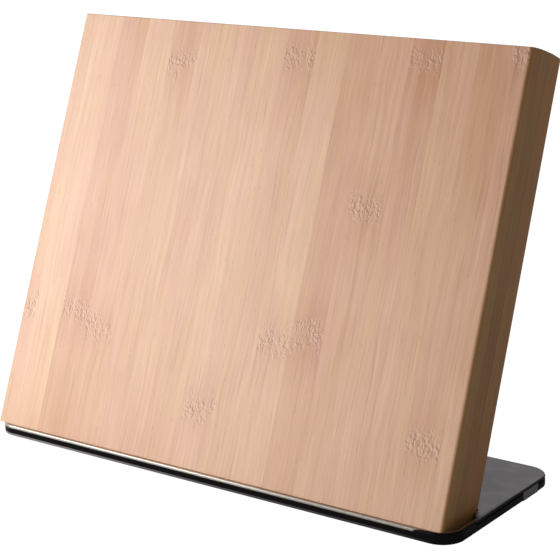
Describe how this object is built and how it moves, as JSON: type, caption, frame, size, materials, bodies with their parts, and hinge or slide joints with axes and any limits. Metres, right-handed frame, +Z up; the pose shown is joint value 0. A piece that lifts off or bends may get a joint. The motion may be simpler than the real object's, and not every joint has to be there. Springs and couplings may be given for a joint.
{
  "type": "knife magnetic rack",
  "caption": "Free-standing magnetic knife rack: a thick laminated bamboo board with hidden magnets leans back in a shallow black tray base with a grey steel cover plate behind it.",
  "frame": {"origin": "on the table plane, under the centre of the rack's overall box", "axes": "+Z up; +X to the right seen from the front; the board's magnetic face looks towards -Y and leans back towards +Y"},
  "size_m": [0.307, 0.1216, 0.238],
  "materials": {
    "bamboo_front": "fine-sanded, satin oil finish",
    "bamboo_core": "satin",
    "bamboo_back": "fine-sanded, satin oil finish",
    "nickel_magnet": "nickel plated",
    "mild_steel": "mill finish",
    "black_lacquered_steel": "gloss lacquer",
    "satin_grey_steel": "satin",
    "foam_tape": "matte",
    "zinc_screw": "zinc plated",
    "brass_insert": "machined",
    "black_rubber": "matte"
  },
  "bodies": {
    "root": {"front_stave_01": "bamboo_front", "front_stave_02": "bamboo_front", "front_stave_03": "bamboo_front", "front_stave_04": "bamboo_front", "front_stave_05": "bamboo_front", "front_stave_06": "bamboo_front", "front_stave_07": "bamboo_front", "front_stave_08": "bamboo_front", "front_stave_09": "bamboo_front", "front_stave_10": "bamboo_front", "front_stave_11": "bamboo_front", "front_stave_12": "bamboo_front", "front_stave_13": "bamboo_front", "front_stave_14": "bamboo_front", "front_stave_15": "bamboo_front", "front_stave_16": "bamboo_front", "core_stave_01": "bamboo_core", "core_stave_02": "bamboo_core", "core_stave_03": "bamboo_core", "core_stave_04": "bamboo_core", "core_stave_05": "bamboo_core", "core_stave_06": "bamboo_core", "core_stave_07": "bamboo_core", "core_stave_08": "bamboo_core", "core_stave_09": "bamboo_core", "core_stave_10": "bamboo_core", "core_stave_11": "bamboo_core", "core_stave_12": "bamboo_core", "core_stave_13": "bamboo_core", "core_stave_14": "bamboo_core", "core_stave_15": "bamboo_core", "back_stave_01": "bamboo_back", "back_stave_02": "bamboo_back", "back_stave_03": "bamboo_back", "back_stave_04": "bamboo_back", "back_stave_05": "bamboo_back", "back_stave_06": "bamboo_back", "back_stave_07": "bamboo_back", "back_stave_08": "bamboo_back", "back_stave_09": "bamboo_back", "back_stave_10": "bamboo_back", "back_stave_11": "bamboo_back", "back_stave_12": "bamboo_back", "back_stave_13": "bamboo_back", "back_stave_14": "bamboo_back", "back_stave_15": "bamboo_back", "back_stave_16": "bamboo_back", "magnets_upper": "nickel_magnet", "magnets_lower": "nickel_magnet", "keeper_upper": "mild_steel", "keeper_lower": "mild_steel", "base_tray": "black_lacquered_steel", "cover_plate": "satin_grey_steel", "ballast_plate": "mild_steel", "bonding_tape": "foam_tape", "board_screws": "zinc_screw", "threaded_inserts": "brass_insert", "rubber_feet": "black_rubber"}
  },
  "joints": []
}
